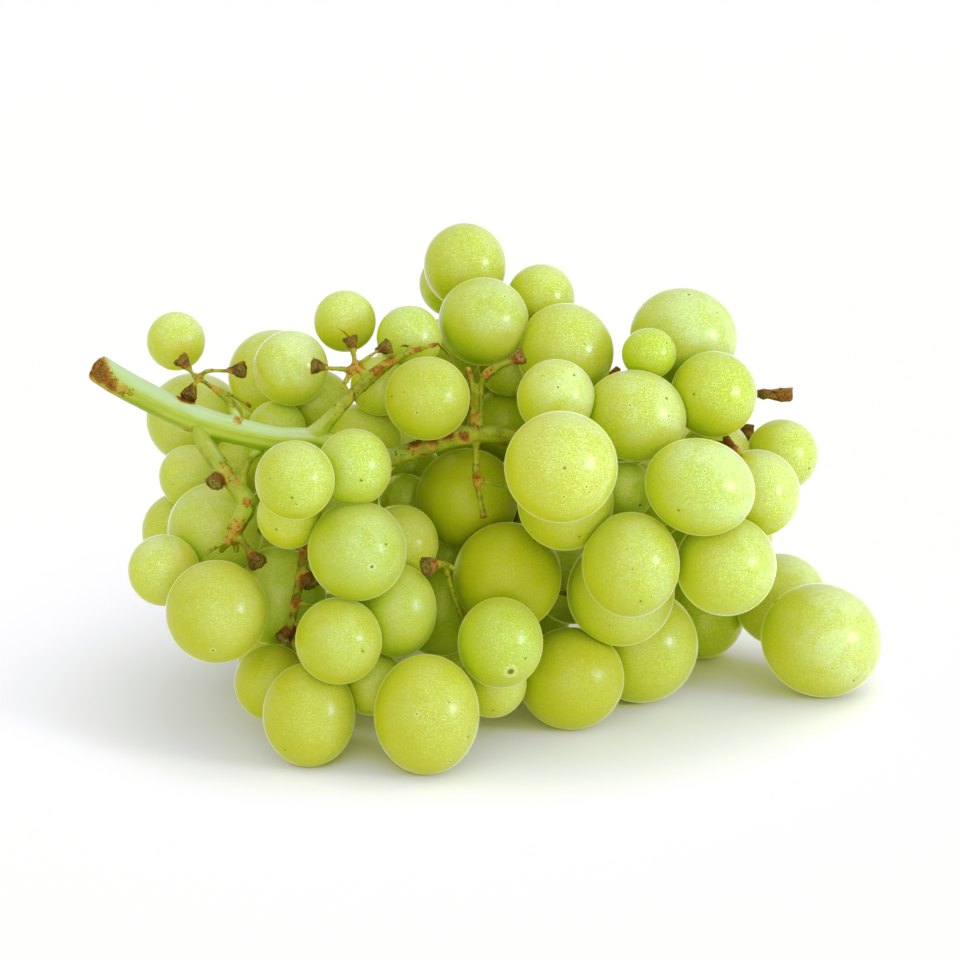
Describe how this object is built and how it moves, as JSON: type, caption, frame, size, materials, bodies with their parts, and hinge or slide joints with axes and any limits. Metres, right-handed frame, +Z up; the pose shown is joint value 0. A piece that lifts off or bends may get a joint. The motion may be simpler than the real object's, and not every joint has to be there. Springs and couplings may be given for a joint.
{
  "type": "bunch of grapes",
  "caption": "Bunch of pale green grapes lying on its side: round berries packed round a branching green stem with bare, knobbed pedicels.",
  "frame": {"origin": "middle of the bunch's outline, on the surface that it lies on", "axes": "+X along the bunch, away from the cut end of the stalk; +Y away from the side that the picture shows; +Z up"},
  "size_m": [0.1554, 0.1066, 0.0932],
  "materials": {
    "grape_skin": "pale green skin with a waxy bloom over translucent flesh",
    "grape_stem": "green woody stem with brown scabs and dried knobs"
  },
  "bodies": {
    "root": {"berries_left_shoulder": "grape_skin", "berries_front_left": "grape_skin", "berries_upper_left": "grape_skin", "berries_crown": "grape_skin", "berries_centre": "grape_skin", "berries_front_right": "grape_skin", "berries_upper_right": "grape_skin", "berries_right": "grape_skin", "berries_far_right": "grape_skin", "berry_lone_left": "grape_skin", "berry_lone_top": "grape_skin", "berries_back_left": "grape_skin", "berries_back_low": "grape_skin", "berries_back_middle": "grape_skin", "stem": "grape_stem"}
  },
  "joints": []
}
